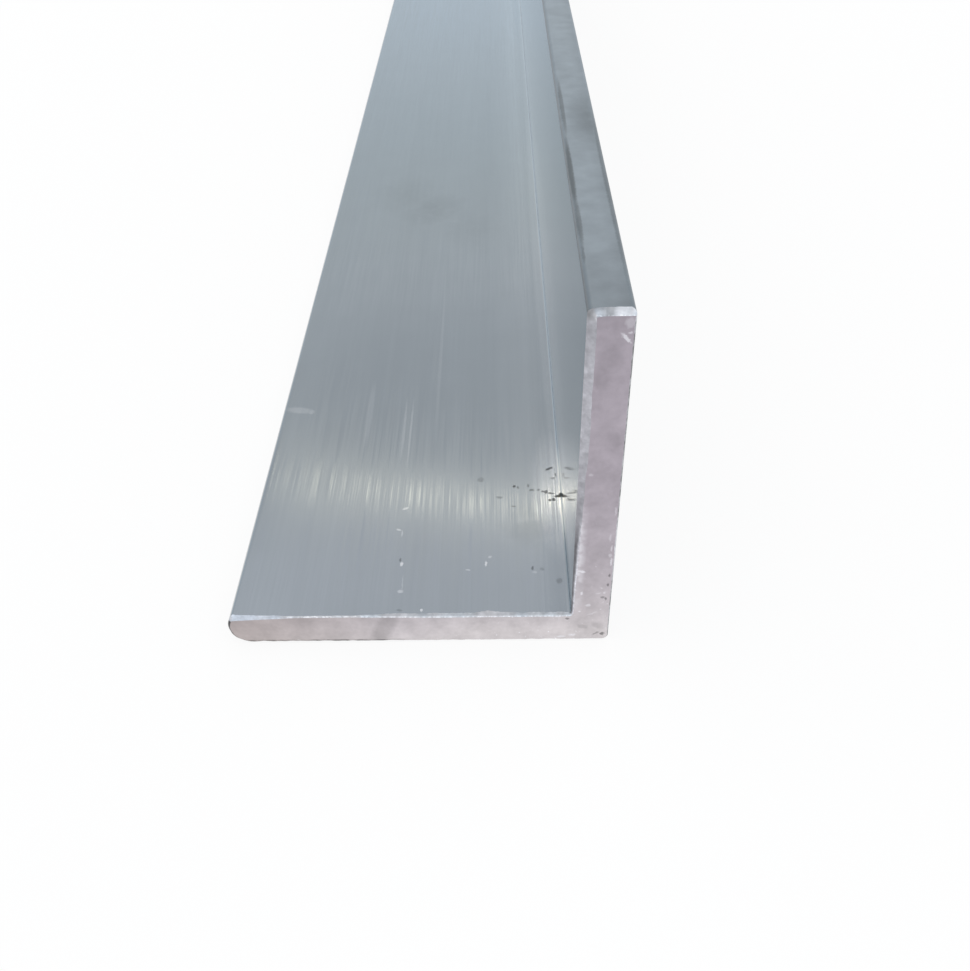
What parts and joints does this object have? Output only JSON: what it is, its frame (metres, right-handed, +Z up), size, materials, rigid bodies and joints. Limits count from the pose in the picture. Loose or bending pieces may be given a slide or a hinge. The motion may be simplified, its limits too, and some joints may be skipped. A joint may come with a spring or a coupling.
{
  "type": "metal angle section",
  "caption": "Straight bar of metal angle with two equal legs at a right angle, for framing, edging and brackets.",
  "frame": {"origin": "on the underside of the bar, below the middle of its box", "axes": "+X across the section from the flat leg's toe towards the upright leg, +Y along the bar away from the dressed end, +Z up along the upright leg"},
  "size_m": [0.05, 1, 0.05],
  "materials": {
    "mill_aluminium": "mill finish with fine lines along the bar, sawn ends"
  },
  "bodies": {
    "root": {"angle_section": "mill_aluminium"}
  },
  "joints": []
}
